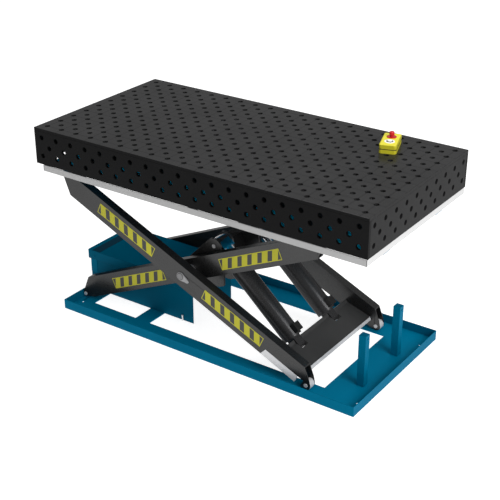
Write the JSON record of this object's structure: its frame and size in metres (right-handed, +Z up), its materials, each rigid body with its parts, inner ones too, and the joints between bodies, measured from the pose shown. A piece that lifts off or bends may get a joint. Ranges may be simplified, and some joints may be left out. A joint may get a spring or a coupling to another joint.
{
  "type": "scissor-lift welding table",
  "caption": "Height adjustable welding table: perforated worktop on a hydraulic scissor lift with power unit and control pendant.",
  "frame": {"origin": "centre of the base footprint on the floor", "axes": "+X along the table away from the power unit, -Y towards the side shown in front, +Z up"},
  "size_m": [2, 1, 1.1601],
  "materials": {
    "worktop_steel": "matte, dark",
    "frame_blue": "satin",
    "arm_grey": "satin",
    "skirt_grey": "matte",
    "pin_steel": "machined",
    "rod_chrome": "polished",
    "barrel_grey": "satin",
    "port_black": "satin",
    "strip_steel": "brushed",
    "pendant_yellow": "fine texture",
    "stop_red": "gloss",
    "seal_black": "matte",
    "button_white": "gloss"
  },
  "bodies": {
    "base": {"base_tray": "frame_blue", "base_lugs": "frame_blue", "base_pivot_pins": "pin_steel", "stop_posts": "frame_blue", "power_unit_housing": "frame_blue", "housing_lid": "frame_blue", "lid_screws": "pin_steel", "power_unit_bed": "frame_blue", "oil_tank": "arm_grey", "pump_motor": "port_black"},
    "inner_frame": {"inner_arm_front": "arm_grey", "inner_arm_back": "arm_grey", "inner_cross_tube": "arm_grey", "ram_brackets": "arm_grey", "ram_top_pins": "pin_steel", "upper_axles": "pin_steel", "centre_spacers": "pin_steel"},
    "outer_frame": {"outer_arm_front": "arm_grey", "outer_arm_back": "arm_grey", "arm_end_strips": "strip_steel", "lower_beam": "arm_grey", "centre_pins": "pin_steel", "centre_locks": "arm_grey", "lower_axles": "pin_steel", "ram_foot_pins": "pin_steel"},
    "platform": {"worktop_plate": "worktop_steel", "side_front": "worktop_steel", "side_back": "worktop_steel", "side_ends": "worktop_steel", "ribs_long": "worktop_steel", "ribs_cross": "worktop_steel", "platform_deck": "frame_blue", "platform_rails": "frame_blue", "platform_cross_rails": "frame_blue", "platform_lugs": "frame_blue", "platform_pivot_pins": "pin_steel", "skirt_hangers": "frame_blue"},
    "trip_skirt": {"skirt_front": "skirt_grey", "skirt_back": "skirt_grey", "skirt_ends": "skirt_grey"},
    "lower_roller_pair": {"lower_rollers": "pin_steel"},
    "upper_roller_pair": {"upper_rollers": "pin_steel"},
    "ram_front_rod": {"ram_rod_front": "rod_chrome"},
    "ram_back_rod": {"ram_rod_back": "rod_chrome"},
    "ram_front_barrel": {"ram_barrel_front": "barrel_grey", "ram_port_front": "port_black"},
    "ram_back_barrel": {"ram_barrel_back": "barrel_grey", "ram_port_back": "port_black"},
    "pendant": {"pendant_lower": "pendant_yellow", "pendant_seal": "seal_black", "pendant_upper": "pendant_yellow", "stop_collar": "pendant_yellow", "lift_bezel": "button_white"},
    "stop_push": {"stop_button": "stop_red"},
    "lift_push": {"lift_button": "button_white"}
  },
  "joints": [
    {"name": "lift", "type": "hinge", "parent": "base", "child": "inner_frame", "pos_m": [-0.917, 0, 0.032], "axis": [0, -1, 0], "range_deg": [-19.39, 2.36]},
    {"name": "scissor_centre", "type": "hinge", "parent": "inner_frame", "child": "outer_frame", "pos_m": [-0.14413, 0, 0.41504], "axis": [0, -1, 0], "range_deg": [-4.74, 38.8]},
    {"name": "platform_hinge", "type": "hinge", "parent": "outer_frame", "child": "platform", "pos_m": [-0.917, 0, 0.79807], "axis": [0, -1, 0], "range_deg": [-19.41, 2.38]},
    {"name": "lower_roller_spin", "type": "hinge", "parent": "outer_frame", "child": "lower_roller_pair", "pos_m": [0.62874, 0, 0.032], "axis": [0, 1, 0], "continuous": true},
    {"name": "upper_roller_spin", "type": "hinge", "parent": "inner_frame", "child": "upper_roller_pair", "pos_m": [0.62874, 0, 0.79807], "axis": [0, 1, 0], "continuous": true},
    {"name": "ram_front_tilt", "type": "hinge", "parent": "inner_frame", "child": "ram_front_rod", "pos_m": [-0.04478, -0.167, 0.55117], "axis": [0, -1, 0], "range_deg": [-4.97, 40.69]},
    {"name": "ram_front_stroke", "type": "slide", "parent": "ram_front_rod", "child": "ram_front_barrel", "axis": [0.7391, 0, -0.6736], "range_m": [-0.11005, 0.01357]},
    {"name": "ram_back_tilt", "type": "hinge", "parent": "inner_frame", "child": "ram_back_rod", "pos_m": [-0.04478, 0.167, 0.55117], "axis": [0, -1, 0], "range_deg": [-4.97, 40.69]},
    {"name": "ram_back_stroke", "type": "slide", "parent": "ram_back_rod", "child": "ram_back_barrel", "axis": [0.7391, 0, -0.6736], "range_m": [-0.11005, 0.01357]},
    {"name": "skirt_trip", "type": "slide", "parent": "platform", "child": "trip_skirt", "axis": [0, 0, 1], "range_m": [0, 0.003], "stiffness_N_per_m": 3000},
    {"name": "pendant_lift", "type": "slide", "parent": "platform", "child": "pendant", "axis": [0, 0, 1], "range_m": [0, 0.4]},
    {"name": "stop_press", "type": "slide", "parent": "pendant", "child": "stop_push", "axis": [0, 0, -1], "range_m": [0, 0.004], "stiffness_N_per_m": 900},
    {"name": "lift_press", "type": "slide", "parent": "pendant", "child": "lift_push", "axis": [0, 0, -1], "range_m": [0, 0.004], "stiffness_N_per_m": 600}
  ],
  "couplings": [
    {"joint": "scissor_centre", "follows": "lift", "ratio": -2},
    {"joint": "platform_hinge", "follows": "lift", "ratio": 1},
    {"joint": "ram_front_tilt", "follows": "lift", "ratio": -2.0977},
    {"joint": "ram_front_stroke", "follows": "lift", "m_per_rad": 0.32462},
    {"joint": "ram_back_tilt", "follows": "lift", "ratio": -2.0977},
    {"joint": "ram_back_stroke", "follows": "lift", "m_per_rad": 0.32462}
  ]
}
